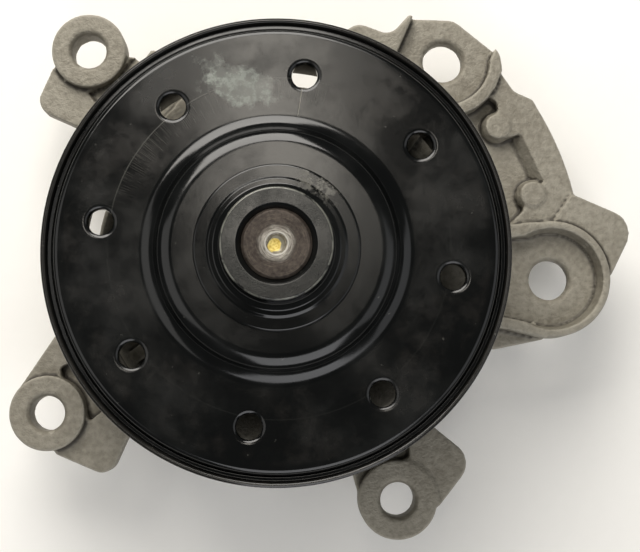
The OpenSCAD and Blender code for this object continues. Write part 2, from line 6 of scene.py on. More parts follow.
import bmesh
import bpy
import numpy as np
from mathutils import Matrix, Vector
from mathutils.geometry import delaunay_2d_cdt


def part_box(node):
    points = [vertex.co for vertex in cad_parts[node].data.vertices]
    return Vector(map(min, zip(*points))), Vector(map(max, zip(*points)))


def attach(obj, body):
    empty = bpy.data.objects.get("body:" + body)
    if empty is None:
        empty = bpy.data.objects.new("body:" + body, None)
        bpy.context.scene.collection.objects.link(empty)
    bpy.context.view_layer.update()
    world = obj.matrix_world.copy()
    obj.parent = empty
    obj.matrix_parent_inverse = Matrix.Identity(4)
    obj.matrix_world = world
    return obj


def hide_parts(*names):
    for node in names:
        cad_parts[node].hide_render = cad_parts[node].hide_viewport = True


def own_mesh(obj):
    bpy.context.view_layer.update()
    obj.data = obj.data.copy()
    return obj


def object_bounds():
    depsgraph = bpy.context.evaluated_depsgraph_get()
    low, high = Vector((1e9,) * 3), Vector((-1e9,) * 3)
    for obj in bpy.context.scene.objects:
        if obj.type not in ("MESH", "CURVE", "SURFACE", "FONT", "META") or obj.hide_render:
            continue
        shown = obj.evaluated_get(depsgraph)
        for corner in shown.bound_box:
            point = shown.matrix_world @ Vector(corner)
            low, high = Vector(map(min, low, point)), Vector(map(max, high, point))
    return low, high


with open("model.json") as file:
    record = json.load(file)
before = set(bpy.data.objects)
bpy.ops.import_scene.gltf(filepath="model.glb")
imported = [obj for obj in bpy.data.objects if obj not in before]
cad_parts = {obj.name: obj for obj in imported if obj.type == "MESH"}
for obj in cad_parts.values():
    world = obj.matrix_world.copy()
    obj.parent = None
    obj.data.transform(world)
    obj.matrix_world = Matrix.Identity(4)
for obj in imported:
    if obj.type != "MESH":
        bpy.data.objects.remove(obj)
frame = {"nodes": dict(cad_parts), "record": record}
nodes = frame["nodes"]
cad_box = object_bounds()
MM = 0.001


# ---- housing ----
# The pump's body is one aluminium die casting, with a sandy skin, soft edges and five bolt
# ears. Its mounting face is milled bright. Everything else is pressed into it or turns
# inside it.


class Shade:
    """A socket in a material's node tree. Arithmetic on it adds Math nodes."""

    def __init__(self, tree, socket=None):
        self.tree, self.socket = tree, socket

    def node(self, kind, settings=None, inputs=None, out=0):
        """Any other node: its settings first, then the values or links of its sockets."""
        made = self.tree.nodes.new("ShaderNode" + kind)
        for name, value in (settings or {}).items():
            if name == "stops":
                ramp = made.color_ramp
                ramp.elements[0].position, ramp.elements[1].position = value[0][0], value[-1][0]
                ramp.elements[0].color = (*value[0][1], 1)
                ramp.elements[1].color = (*value[-1][1], 1)
                for at, colour in value[1:-1]:
                    ramp.elements.new(at).color = (*colour, 1)
            else:
                setattr(made, name, value)
        for name, value in (inputs or {}).items():
            if isinstance(value, Shade):
                self.tree.links.new(value.socket, made.inputs[name])
            else:
                made.inputs[name].default_value = value
        return Shade(self.tree, made.outputs[out])

    def math(self, operation, *others):
        return self.node("Math", {"operation": operation}, {0: self, **dict(enumerate(others, 1))})

    def __add__(self, other):
        return self.math("ADD", other)

    def __sub__(self, other):
        return self.math("SUBTRACT", other)

    def __rsub__(self, other):
        return self.node("Math", {"operation": "SUBTRACT"}, {0: other, 1: self})

    def __mul__(self, other):
        return self.math("MULTIPLY", other)

    __radd__, __rmul__ = __add__, __mul__

    def rise(self, low, high):
        """0 below low, 1 above high, and smooth between them."""
        return self.node("MapRange", {"interpolation_type": "SMOOTHSTEP"},
                         {"Value": self, "From Min": low, "From Max": high})

    def fall(self, low, high):
        """1 below low, 0 above high, and smooth between them."""
        return 1 - self.rise(low, high)

    def band(self, middle, half, soft):
        """1 within half of middle, falling to 0 over soft."""
        return 1 - (self - middle).math("ABSOLUTE").rise(half, half + soft)

    def mix(self, low, high):
        """The colour low where this is 0 and high where it is 1."""
        ends = [c if isinstance(c, Shade) else (*c, 1) for c in (low, high)]
        return self.node("Mix", {"data_type": "RGBA"}, {0: self, 6: ends[0], 7: ends[1]}, out=2)

    def noise(self, size, detail=3, rough=0.5, squeeze=None):
        """Noise with grains of about this size, in metres, from a place."""
        at = self
        if squeeze:
            at = self.node("VectorMath", {"operation": "MULTIPLY"}, {0: self, 1: squeeze})
        return at.node("TexNoise", {}, {"Vector": at, "Scale": 0.5 / size, "Detail": detail,
                                        "Roughness": rough})

    def bump(self, depth, strength):
        """The surface normal of this height, where 1 stands proud by depth metres."""
        return self.node("Bump", {}, {"Height": self, "Distance": depth, "Strength": strength})


def finish(name, **constants):
    """A new material: its Principled shader with constants set, and the place on the piece."""
    made = bpy.data.materials.new(name)
    made.use_nodes = True
    skin = made.node_tree.nodes["Principled BSDF"]
    for socket, value in constants.items():
        skin.inputs[socket.replace("_", " ").title()].default_value = value
    return made, skin, Shade(made.node_tree).node("TexCoord", out="Object")


def feed(skin, **sockets):
    """Links shades to the sockets of a Principled shader, and sets the sockets given as numbers."""
    for name, value in sockets.items():
        socket = skin.inputs[name.replace("_", " ").title()]
        if isinstance(value, Shade):
            skin.id_data.links.new(value.socket, socket)
        else:
            socket.default_value = value


def axes(place):
    """The three coordinates of a place, its distance from the shaft and its angle about it."""
    x, y, z = [place.node("SeparateXYZ", {}, {0: place}, out=o) for o in "XYZ"]
    return x, y, z, (x * x + y * y).math("SQRT"), y.math("ARCTAN2", x)


def paint(piece, material):
    """Gives a piece one material."""
    if piece.material_slots:
        for held in piece.material_slots:
            held.material = material
    else:
        piece.data.materials.append(material)


def cast_aluminium():
    made, skin, place = finish("cast_aluminium")
    _, _, z, r, _ = axes(place)
    normal_z = place.node("SeparateXYZ", {}, {0: place.node("TexCoord", out="Normal")}, out="Z")
    edge = place.node("NewGeometry", out="Pointiness")
    sand = place.noise(0.00035, 2, 0.6)
    grit = place.noise(0.0007, 3, 0.65)
    cloud = place.noise(0.012, 4, 0.6)
    flow = place.noise(0.004, 3, 0.55, (1, 1, 0.4))
    tone = 0.25 * cloud + 0.15 * flow + 0.60 * grit
    colour = tone.rise(0.34, 0.66).mix((0.186, 0.168, 0.131), (0.305, 0.284, 0.232))
    colour = (0.4 * sand.rise(0.5, 0.75)).mix(colour, (0.15, 0.135, 0.108))
    # painted light: convex edges, where pointiness is high, are painted lighter as a highlight, and
    # creases, where it is low, are painted darker as shade
    colour = edge.rise(0.515, 0.56).mix(colour, (0.335, 0.312, 0.258))
    colour = edge.fall(0.462, 0.494).mix(colour, (0.050, 0.043, 0.033))
    # the mounting face is milled bright, with the cutter's rings in it
    milled = normal_z.fall(-0.98, -0.9) * z.fall(0.2 * MM, 0.6 * MM)
    marks = 0.5 + 0.5 * (r * 5200).math("SINE")
    colour = milled.mix(colour, marks.mix((0.50, 0.49, 0.46), (0.60, 0.59, 0.56)))
    feed(skin, base_color=colour,
         roughness=milled * -0.28 + 0.60 + 0.12 * (grit - 0.5),
         metallic=milled * 0.6 + 0.25,
         normal=((0.7 * sand + 0.6 * grit + 0.3 * flow) * (1 - 0.93 * milled)
                 + 0.03 * marks * milled).bump(0.00024, 0.9))
    return made


def sandy_casting():
    """The CAD body with every edge softened as a die leaves it, kept inside the body's box."""
    casting = bpy.data.objects.new("pump_casting", nodes["pump_body"].data.copy())
    bpy.context.scene.collection.objects.link(casting)
    cells = casting.modifiers.new("cells", "REMESH")
    cells.mode, cells.voxel_size = "VOXEL", 0.46 * MM
    soften = casting.modifiers.new("soften", "SMOOTH")
    soften.factor, soften.iterations = 0.5, 1
    bpy.context.view_layer.update()
    seen = casting.evaluated_get(bpy.context.evaluated_depsgraph_get())
    mesh = bpy.data.meshes.new_from_object(seen)
    casting.modifiers.clear()
    casting.data = mesh
    low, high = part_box("pump_body")
    at = np.empty(len(mesh.vertices) * 3)
    mesh.vertices.foreach_get("co", at)
    at = np.clip(at.reshape(-1, 3), np.array(low), np.array(high))
    mesh.vertices.foreach_set("co", at.ravel())
    mesh.shade_smooth()
    mesh.materials.clear()
    return casting


casting = sandy_casting()
paint(casting, cast_aluminium())
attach(casting, "housing")
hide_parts("pump_body")


# ---- gasket ----
# A moulded rubber cord with a round bead, pushed into the groove of the mounting face. It
# stands a little proud so that the engine block squeezes it.


def rubber(name, dark, light):
    made, skin, place = finish(name)
    fine = place.noise(0.0006, 4, 0.6)
    wide = place.noise(0.006, 3, 0.5)
    feed(skin, base_color=(0.6 * wide + 0.4 * fine).rise(0.3, 0.7).mix(dark, light),
         roughness=0.42 + 0.25 * fine,
         normal=fine.bump(0.00004, 0.5))
    return made


paint(nodes["body_gasket"], rubber("gasket_rubber", (0.022, 0.023, 0.025), (0.05, 0.05, 0.052)))


# ---- bearing ----
# The shaft runs straight in two rows of balls: the ring around them is pressed into the
# snout, nylon cages space the balls, and rubber-faced seals close both ends.


def ground_steel(name, dark, light):
    made, skin, place = finish(name, metallic=1.0)
    _, _, z, r, _ = axes(place)
    fine = place.noise(0.0005, 4, 0.65, (1, 1, 6))
    stain = place.noise(0.003, 4, 0.6)
    marks = 0.5 + 0.5 * ((z + r) * 3500).math("SINE")
    feed(skin, base_color=(0.5 * stain + 0.5 * fine).rise(0.35, 0.68).mix(dark, light),
         roughness=0.24 + 0.2 * fine + 0.06 * marks,
         normal=(0.6 * marks + 0.4 * fine).bump(0.00001, 0.5))
    return made


def ball_steel():
    made, skin, place = finish("ball_steel", metallic=1.0)
    haze = place.noise(0.002, 3, 0.6)
    scratch = place.noise(0.0004, 2, 0.5, (1, 9, 1))
    feed(skin, base_color=haze.mix((0.66, 0.66, 0.67), (0.78, 0.78, 0.78)),
         roughness=0.06 + 0.1 * haze, normal=scratch.bump(0.000003, 0.4))
    return made


def cage_nylon():
    made, skin, place = finish("cage_nylon")
    fibres = place.noise(0.0003, 3, 0.7, (1, 1, 5))
    wide = place.noise(0.004, 2, 0.5)
    feed(skin, base_color=(0.5 * fibres + 0.5 * wide).mix((0.58, 0.47, 0.27), (0.80, 0.72, 0.52)),
         roughness=0.4 + 0.2 * fibres, normal=fibres.bump(0.00002, 0.5))
    return made


bearing_steel = ground_steel("bearing_steel", (0.40, 0.38, 0.35), (0.56, 0.54, 0.50))
paint(nodes["bearing_ring"], bearing_steel)
balls, nylon = ball_steel(), cage_nylon()
seal_lip = rubber("seal_lip", (0.10, 0.045, 0.022), (0.17, 0.085, 0.045))
for row in ("front", "rear"):
    paint(nodes[row + "_balls"], balls)
    paint(nodes[row + "_ball_cage"], nylon)
    paint(nodes[row + "_bearing_seal"], seal_lip)


# ---- shaft seal ----
# A brass case pressed into the housing holds a rubber bellows and a coil spring, which push
# a carbon ring against a ceramic one. A thin slinger throws any leak out to the drain.


def brass():
    made, skin, place = finish("pressed_brass", metallic=1.0)
    drawn = place.noise(0.0008, 4, 0.6, (1, 1, 0.2))
    spots = place.noise(0.0025, 4, 0.65)
    feed(skin, base_color=spots.rise(0.4, 0.66).mix((0.60, 0.46, 0.21), (0.36, 0.25, 0.12)),
         roughness=0.26 + 0.2 * drawn, normal=drawn.bump(0.00001, 0.5))
    return made


def carbon():
    made, skin, place = finish("carbon")
    pores = place.noise(0.0004, 3, 0.7)
    wide = place.noise(0.003, 2, 0.5)
    feed(skin, base_color=(0.5 * pores + 0.5 * wide).mix((0.02, 0.02, 0.022), (0.07, 0.07, 0.075)),
         roughness=0.3 + 0.2 * pores, normal=pores.bump(0.00001, 0.4))
    return made


def ceramic():
    made, skin, place = finish("ceramic")
    cloud = place.noise(0.003, 4, 0.6)
    specks = place.noise(0.0004, 2, 0.5).rise(0.66, 0.72)
    body = cloud.mix((0.74, 0.71, 0.63), (0.84, 0.82, 0.77))
    feed(skin, base_color=specks.mix(body, (0.45, 0.41, 0.35)), roughness=0.18 + 0.14 * cloud,
         normal=cloud.bump(0.000008, 0.4))
    return made


sheet_brass = brass()
paint(nodes["seal_case"], sheet_brass)
paint(nodes["seal_retainer"], sheet_brass)
bellows_rubber = rubber("bellows_rubber", (0.018, 0.018, 0.019), (0.045, 0.045, 0.045))
paint(nodes["mating_ring_boot"], bellows_rubber)
paint(nodes["water_slinger"], rubber("slinger_rubber", (0.03, 0.03, 0.032), (0.07, 0.07, 0.07)))
paint(nodes["carbon_ring"], carbon())
paint(nodes["mating_ring"], ceramic())

# in the pump the bellows and the spring shorten towards the housing as the carbon ring slides; here they
# are copied onto the housing in their own materials, at their full length
coil_steel = ground_steel("spring_steel", (0.42, 0.42, 0.42), (0.62, 0.62, 0.61))
joints = {joint["name"]: joint for joint in frame["record"]["behaviour"]["joints"]}
travel = joints["seal_face_slide"]["range_m"][1]
for name, material, kept_slot in (("seal_bellows", bellows_rubber, "seal_rubber"),
                                  ("seal_spring", coil_steel, "spring_steel")):
    low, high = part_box(name)
    soft = bpy.data.objects.new(name.replace("seal", "shortening"), nodes[name].data.copy())
    bpy.context.scene.collection.objects.link(soft)
    paint(soft, material)
    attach(soft, "housing")
    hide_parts(name)
    1 - travel / (high.z - low.z)
    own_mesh(soft)


# ---- impeller ----
# The vaned wheel is moulded in glass-filled plastic around a steel bush, and the bush is
# pressed onto the shaft's inner end.


def moulded_plastic():
    made, skin, place = finish("moulded_plastic")
    fibres = place.noise(0.0005, 4, 0.7, (1, 1, 2))
    flow = place.noise(0.008, 4, 0.6)
    tone = (0.45 * fibres + 0.55 * flow).rise(0.35, 0.66)
    feed(skin, base_color=tone.mix((0.022, 0.022, 0.024), (0.062, 0.062, 0.062)),
         roughness=0.38 + 0.22 * fibres, normal=(0.7 * fibres + 0.3 * flow).bump(0.00004, 0.6))
    return made


paint(nodes["impeller"], moulded_plastic())
paint(nodes["impeller_bush"], ground_steel("bush_steel", (0.30, 0.27, 0.23), (0.50, 0.47, 0.43)))


# ---- shaft ----
# One ground steel shaft carries the hub outside and the impeller inside. Its end face is
# turned, with a centre hole and a dab of yellow paint left from inspection.


def rounded(corners, steps):
    """Points [r, z] through corners (r, z, radius), each corner turned with its own radius."""
    points = []
    for i, (r, z, radius) in enumerate(corners):
        p = Vector((r, z))
        a = Vector(corners[i - 1][:2]) - p
        b = Vector(corners[(i + 1) % len(corners)][:2]) - p
        if radius == 0 or a.length == 0 or b.length == 0:
            points.append(tuple(p))
            continue
        half = a.angle(b) / 2
        reach = min(radius / math.tan(half), 0.49 * a.length, 0.49 * b.length)
        radius = reach * math.tan(half)
        centre = p + (a.normalized() + b.normalized()).normalized() * radius / math.sin(half)
        start, end = p + a.normalized() * reach - centre, p + b.normalized() * reach - centre
        for k in range(steps + 1):
            way = start.lerp(end, k / steps)
            points.append(tuple(centre + way.normalized() * radius))
    return points


def turn(name, points, around=256, gaps=()):
    """A solid turned about the shaft's axis from [r, z] points. Sides that start at gaps stay open."""
    n = len(points)
    angles = np.arange(around) * 2 * math.pi / around
    ring = np.array(points)
    at = np.stack([np.outer(np.cos(angles), ring[:, 0]), np.outer(np.sin(angles), ring[:, 0]),
                   np.tile(ring[:, 1], (around, 1))], axis=2).reshape(-1, 3)
    faces = []
    for i in range(around):
        a, b = i * n, ((i + 1) % around) * n
        for k in set(range(n)) - set(gaps):
            j = (k + 1) % n
            faces.append((a + k, b + k, b + j, a + j))
    mesh = bpy.data.meshes.new(name)
    mesh.from_pydata([tuple(v) for v in at], [], faces)
    mesh.validate()
    tidy_normals(mesh)
    solid = bpy.data.objects.new(name, mesh)
    bpy.context.scene.collection.objects.link(solid)
    even_flats(solid)
    return solid


def tidy_normals(mesh):
    """Closes the seam, points faces outwards and keeps only edges over 32 degrees sharp."""
    work = bmesh.new()
    work.from_mesh(mesh)
    bmesh.ops.remove_doubles(work, verts=work.verts, dist=1e-7)
    bmesh.ops.recalc_face_normals(work, faces=work.faces)
    work.to_mesh(mesh)
    work.free()
    mesh.shade_smooth()
    mesh.set_sharp_from_angle(angle=math.radians(32))


def even_flats(piece):
    """Lets the large flat faces set the shading, so that they stay flat up to their edges."""
    level = piece.modifiers.new("even flats", "WEIGHTED_NORMAL")
    level.keep_sharp, level.weight = True, 100


def off_centre(x, y, x0, y0):
    """The distance from a line that runs beside the shaft's axis."""
    return ((x - x0) * (x - x0) + (y - y0) * (y - y0)).math("SQRT")


def turned_steel(top):
    hole, bright_ring = 1.95 * MM, 2.55 * MM
    made, skin, place = finish("turned_steel")
    x, y, z, r, angle = axes(place)
    stain = place.noise(0.0016, 4, 0.65)
    fine = place.noise(0.00035, 3, 0.6)
    # rings left by the lathe tool, drawn out along the turn
    swirl = place.node("CombineXYZ", {}, {0: r * 9000, 1: angle * 1.3, 2: 0.0})
    swirl = swirl.node("TexNoise", {}, {"Vector": swirl, "Scale": 1.0, "Detail": 4.0,
                                        "Roughness": 0.7})
    ragged = r + 2.2 * MM * (stain - 0.5) + MM * (swirl - 0.5)
    hollow = r.fall(hole - 0.15 * MM, hole + 0.15 * MM)
    fresh = ragged.fall(2.9 * MM, 4.7 * MM) * (1 - hollow)
    brown = (0.5 * stain + 0.5 * fine).rise(0.3, 0.7).mix((0.018, 0.013, 0.010),
                                                          (0.080, 0.064, 0.052))
    colour = (0.5 * swirl.rise(0.52, 0.66)).mix(brown, (0.17, 0.14, 0.11))
    bright = swirl.rise(0.38, 0.64).mix((0.07, 0.058, 0.045), (0.52, 0.49, 0.43))
    colour = fresh.mix(colour, bright)
    colour = (0.7 * r.band(bright_ring, 0.12 * MM, 0.12 * MM)).mix(colour, (0.52, 0.50, 0.45))
    colour = hollow.mix(colour, fine.mix((0.13, 0.12, 0.09), (0.30, 0.28, 0.22)))
    # the dab of paint lies a little off the axis, inside the hole
    dab = off_centre(x, y, -0.5 * MM, -0.4 * MM)
    dab = (dab + 1.2 * MM * (place.noise(1.2 * MM) - 0.5)).fall(1.35 * MM, 1.6 * MM)
    dab = dab * z.rise(top - 2.6 * MM, top - 2.2 * MM)
    colour = dab.mix(colour, fine.rise(0.35, 0.65).mix((0.50, 0.34, 0.05), (0.80, 0.66, 0.22)))
    feed(skin, base_color=colour, metallic=0.5 - 0.5 * dab,
         roughness=0.36 + 0.16 * stain + 0.25 * dab,
         normal=(0.6 * swirl + 0.3 * fine + 0.4 * stain + 0.8 * dab).bump(0.00009, 0.7))
    return made


def shaft_outline(radius, top, bottom):
    """The shaft's corners, from the axis at the top round to the axis at the bottom."""
    axis, bevel = 0.01 * MM, 0.6 * MM
    hole, mouth, floor, point = 1.95 * MM, 2.45 * MM, top - 0.9 * MM, top - 1.8 * MM
    ring, ring_half, ring_deep = 4.25 * MM, 0.1 * MM, 0.08 * MM
    return [(axis, point, 0), (0.7 * MM, point + 0.3 * MM, 0.3 * MM),
            (hole, floor, 0.4 * MM), (hole, top - 0.5 * MM, 0.1 * MM), (mouth, top, 0.15 * MM),
            (ring - 2 * ring_half, top, 0.05 * MM), (ring - ring_half, top - ring_deep, 0),
            (ring + ring_half, top - ring_deep, 0), (ring + 2 * ring_half, top, 0.05 * MM),
            (radius - bevel, top, 0.15 * MM), (radius, top - bevel, 0.2 * MM),
            (radius, bottom + bevel, 0.2 * MM), (radius - bevel, bottom, 0.2 * MM),
            (axis, bottom, 0)]


shaft_low, shaft_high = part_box("bearing_shaft")
outline = shaft_outline(shaft_high.x, shaft_high.z, shaft_low.z)
shaft = turn("pump_shaft", rounded(outline, 6), 192)
paint(shaft, turned_steel(shaft_high.z))
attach(shaft, "rotor")
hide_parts("bearing_shaft")


# ---- pulley hub ----
# A forged steel hub is pressed onto the shaft, and its flange holds the disc. Handling has
# worn the black coat off its face and off the upper edge of its flange.

hub_low, hub_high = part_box("pulley_hub")
disc_low, disc_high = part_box("pulley_disc")
rim_low, rim_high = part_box("pulley_rim")
sheet, raise_h = 2.6 * MM, 4.2 * MM
disc_top, web = disc_high.z, disc_high.z - raise_h
flange_r, flange_t = hub_high.x, 1.3 * MM
hub_r = shaft_high.x + 4.74 * MM
tail_r, seat_r = 14 * MM, 16 * MM
bore_bevel = 1.2 * MM


def black_coat(name, wear):
    """Glossy black dip coat over steel. wear(...) adds what use has done to this piece's coat."""
    made, skin, place = finish(name)
    haze = place.noise(0.010, 4, 0.6)
    ripple = place.noise(0.0025, 3, 0.55)
    grain = place.noise(0.0004, 3, 0.6)
    dust = place.noise(0.0007, 2, 0.5).rise(0.73, 0.80)
    coat = haze.rise(0.35, 0.7).mix((0.0018, 0.0020, 0.0020), (0.0050, 0.0054, 0.0052))
    gloss = 0.10 + 0.13 * haze.rise(0.40, 0.7) + 0.05 * grain
    colour, rough, metal, height = wear(place, axes(place), coat, gloss, 0.0,
                                        0.5 * ripple + 0.08 * grain)
    feed(skin, base_color=(0.28 * dust).mix(colour, (0.16, 0.16, 0.14)), roughness=rough,
         metallic=metal, normal=height.bump(0.04 * MM, 0.6))
    return made


def worn_hub(place, at, colour, rough, metal, height):
    _, _, z, r, angle = at
    patch = place.noise(0.0022, 4, 0.65)
    scratch = place.noise(0.0005, 3, 0.6)
    sweep = place.noise(0.0005, 4, 0.7, (1, 7, 1)).rise(0.50, 0.66)
    # the face is rubbed to bare steel, most of all along its outer edge
    face = z.rise(hub_high.z - 0.6 * MM, hub_high.z - 0.3 * MM)
    inner = shaft_high.x + bore_bevel
    bare = face * (0.45 + 0.55 * patch.rise(0.36, 0.58)) * r.rise(inner - 0.06 * MM, inner + 0.24 * MM)
    edge = r.rise(hub_r - 0.5 * MM, hub_r - 0.3 * MM) * face * patch.rise(0.34, 0.56)
    steel = scratch.rise(0.3, 0.7).mix((0.004, 0.0045, 0.0045), (0.013, 0.014, 0.013))
    steel = (0.7 * sweep).mix(steel, (0.032, 0.032, 0.028))
    steel = edge.mix(steel, (0.15, 0.15, 0.13))
    worn = (bare + 0.6 * edge).math("MINIMUM", 1.0)
    colour = worn.mix(colour, steel)
    # chips on the flange's side and scuffs on its top, both towards the upper right
    flecks = place.noise(0.0011, 3, 0.6).rise(0.58, 0.64)
    side = z.rise(disc_top + 0.9 * MM, disc_top + 1.2 * MM) * r.rise(flange_r - 0.6 * MM, flange_r)
    chips = 0.8 * flecks * side * (angle - 0.75).math("ABSOLUTE").fall(0.25, 0.6)
    colour = chips.mix(colour, (0.20, 0.19, 0.16))
    top = z.rise(disc_top + 1.2 * MM, disc_top + 1.25 * MM) * z.fall(disc_top + 1.6 * MM, disc_top + 2 * MM)
    rub = top * (0.5 * patch + 0.5 * scratch).rise(0.45, 0.56)
    rub = rub * (angle - 0.98).math("ABSOLUTE").fall(0.10, 0.42)
    colour = (0.7 * rub).mix(colour, (0.16, 0.155, 0.135))
    return (colour, rough + 0.09 * worn + 0.16 * rub, metal + 0.10 * worn + 0.3 * chips,
            height + 0.5 * scratch * worn - 0.5 * chips)


hub_corners = [
    (shaft_high.x, hub_low.z, 0.1 * MM), (tail_r, hub_low.z, 0.4 * MM),
    (tail_r, disc_top - sheet, 0), (seat_r, disc_top - sheet, 0), (seat_r, disc_top, 0),
    (flange_r, disc_top, 0.1 * MM), (flange_r, disc_top + flange_t, 0.8 * MM),
    (hub_r + 3.6 * MM, disc_top + flange_t + 0.05 * MM, 0.15 * MM),
    (hub_r + 3.0 * MM, disc_top + flange_t + 0.45 * MM, 0.4 * MM),
    (hub_r + 1.9 * MM, disc_top + flange_t + 0.5 * MM, 0.6 * MM),
    (hub_r, disc_top + 3.4 * MM, 2.2 * MM), (hub_r, hub_high.z, 0.5 * MM),
    (shaft_high.x + bore_bevel, hub_high.z, 0.1 * MM),
    (shaft_high.x, hub_high.z - bore_bevel, 0.1 * MM)]
hub = turn("belt_pulley_hub", rounded(hub_corners, 10))
paint(hub, black_coat("hub_coat", worn_hub))
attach(hub, "rotor")
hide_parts("pulley_hub")


# ---- pulley disc ----
# Pressed from 2.6 mm sheet steel: a raised middle, a flat web with eight drawn holes and an
# edge turned back into the rim. It is dipped glossy black and carries scuffs and oil.

holes, hole_r, hole_circle, first_hole = 8, 3.05 * MM, 41.5 * MM, -8.8
raised_r, slope_w = flange_r + 4.8 * MM, 8 * MM
edge_r, bend = disc_high.x, 1.5 * MM
collar = 1.15 * MM


def disc_face(down):
    """The disc's upper face moved down: middle, S-shaped slope, web and turned-back edge."""
    steps, quarter = 18, math.pi / 2
    curve = (slope_w * slope_w + raise_h * raise_h) / (4 * raise_h)
    swing = 2 * math.atan(raise_h / slope_w)

    def arc(r, z, radius, start, end):
        return [(r + radius * math.cos(start + (end - start) * k / steps),
                 z + radius * math.sin(start + (end - start) * k / steps))
                for k in range(steps + 1)]

    face = ([(seat_r, disc_top - down)]
            + arc(raised_r, disc_top - curve, curve - down, quarter, quarter - swing)
            + arc(raised_r + slope_w, web + curve, curve + down, 3 * quarter - swing, 3 * quarter))
    if down:
        return face + [(edge_r - bend, web - down), (edge_r - down, web - down - 0.3 * MM),
                       (edge_r - down, disc_low.z)]
    return face + arc(edge_r - bend, web - bend, bend, quarter, 0) + [(edge_r, disc_low.z)]


def drilled_ring(level, inner, outer, centres, hole, around, sides):
    """A flat ring of triangles at one height, with round openings left in it."""
    circles = [((0, 0), inner, around), ((0, 0), outer, around)] + [(c, hole, sides) for c in centres]
    at, edges = [], []
    for (x, y), radius, count in circles:
        first = len(at)
        at += [Vector((x + radius * math.cos(t), y + radius * math.sin(t)))
               for t in np.arange(count) * 2 * math.pi / count]
        edges += [(first + k, first + (k + 1) % count) for k in range(count)]
    at, _, faces, *_ = delaunay_2d_cdt(at, edges, [], 0, 1e-9)
    kept = []
    for face in faces:
        middle = sum((at[i] for i in face), Vector((0, 0))) / len(face)
        if inner < middle.length < outer and all((middle - Vector(c)).length > hole for c in centres):
            kept.append(face)
    mesh = bpy.data.meshes.new("drilled_ring")
    mesh.from_pydata([(v.x, v.y, level) for v in at], [], kept)
    return mesh


def joined(mesh, other):
    """Adds another mesh's faces to a mesh."""
    work = bmesh.new()
    work.from_mesh(mesh)
    work.from_mesh(other)
    work.to_mesh(mesh)
    work.free()


def pressed_disc():
    """The turned sheet, its flat web with eight openings, and a rolled collar in each one."""
    upper, lower = disc_face(0), disc_face(sheet)
    inner, outer = raised_r + slope_w, edge_r - bend
    flat = [k for k, (r, z) in enumerate(upper) if abs(r - inner) < 1e-9 and abs(z - web) < 1e-9][0]
    points = upper + lower[::-1]
    under = len(points) - flat - 2
    around, sides, dip = 288, 40, 0.6 * MM
    disc = turn("belt_pulley_disc", points, around, (flat, under))
    profile = [(hole_r, -sheet), (hole_r, -dip)]
    profile += [(hole_r + collar - collar * math.cos(t), -dip + dip * math.sin(t))
                for t in np.linspace(0.15, math.pi / 2, 9)]
    profile += [(hole_r + collar, -sheet)]
    rolled = turn("hole_collar", profile, sides, (len(profile) - 2,))
    turns = [math.radians(first_hole + 360 / holes * i) for i in range(holes)]
    centres = [(hole_circle * math.cos(t), hole_circle * math.sin(t)) for t in turns]
    for level in (web, web - sheet):
        joined(disc.data, drilled_ring(level, inner, outer, centres, hole_r + collar, around, sides))
    for x, y in centres:
        one = rolled.data.copy()
        one.transform(Matrix.Translation((x, y, web)))
        joined(disc.data, one)
    tidy_normals(disc.data)
    bpy.data.objects.remove(rolled)
    return disc


def used_disc(place, at, colour, rough, metal, height):
    x, y, _, r, angle = at
    # oil stains that dull or darken the gloss of the web
    drips = place.noise(0.0028, 4, 0.7)
    stain = (0.6 * place.noise(0.007, 4, 0.65) + 0.4 * drips).rise(0.47, 0.64)
    stain = stain * r.band(hole_circle - 0.3 * MM, 7.8 * MM, 1.5 * MM)
    colour = (0.5 * stain).mix(colour, (0.007, 0.006, 0.005))
    rough = rough + 0.07 * stain
    # a pale scuff left by wiping, at the upper left of the web
    east, north = x + 10 * MM, y - 39 * MM
    along, across = east * 0.94 - north * 0.34, east * 0.34 + north * 0.94
    gone = (along * along * 0.42 + across * across * 1.9).math("SQRT")
    scuff = (gone + 13 * MM * (drips - 0.5)).fall(4.2 * MM, 7.0 * MM)
    smear = place.noise(0.0012, 5, 0.75).rise(0.44, 0.60)
    colour = (0.6 * scuff * (0.30 + 0.70 * smear)).mix(colour, (0.29, 0.315, 0.28))
    rough = rough + 0.12 * scuff * smear
    # fine radial brush marks on the inner part of the web
    brush = place.node("CombineXYZ", {}, {0: angle * 150, 1: r * 110, 2: 0.0})
    brush = brush.node("TexNoise", {}, {"Vector": brush, "Scale": 1.0, "Detail": 3.0})
    zone = r.band(37.5 * MM, 1.4 * MM, 2.6 * MM) * y.rise(4 * MM, 18 * MM) * x.fall(4 * MM, 20 * MM)
    colour = (0.2 * zone * brush.rise(0.46, 0.70)).mix(colour, (0.12, 0.115, 0.10))
    # a thin scribed circle, and one short scratch across the web
    line = off_centre(x, y, 0.6 * MM, 0.5 * MM).band(39.9 * MM, 0.06 * MM, 0.12 * MM)
    faint = 0.05 + 0.28 * y.rise(0, 20 * MM) * x.fall(-10 * MM, 20 * MM)
    colour = (faint * line).mix(colour, (0.09, 0.09, 0.08))
    scratch = (angle - 1.42).math("ABSOLUTE").fall(0.0015, 0.0040)
    scratch = scratch * r.band(35 * MM, 3 * MM, 0.6 * MM)
    colour = (0.7 * scratch).mix(colour, (0.22, 0.21, 0.18))
    return (colour, rough, metal,
            height + 0.25 * brush * zone - 0.5 * faint * line - 0.5 * scratch)


disc = pressed_disc()
paint(disc, black_coat("disc_coat", used_disc))
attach(disc, "rotor")
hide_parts("pulley_disc")


# ---- belt rim ----
# A rolled steel rim is pressed over the disc's edge. Six V grooves between two lips carry
# the belt, and a small bead runs inside the front lip.

pulley_r, front, back = rim_high.x, rim_high.z, rim_low.z
belt_r, groove, pitch, land = pulley_r - 0.9 * MM, 2.9 * MM, 3.56 * MM, 0.48 * MM
seat_z = disc_low.z
groove_low = back + 1.4 * MM + pitch / 2 - land
groove_high = seat_z - 0.5 * MM - pitch / 2 + land
grooves = int((groove_high - groove_low) / pitch) + 1


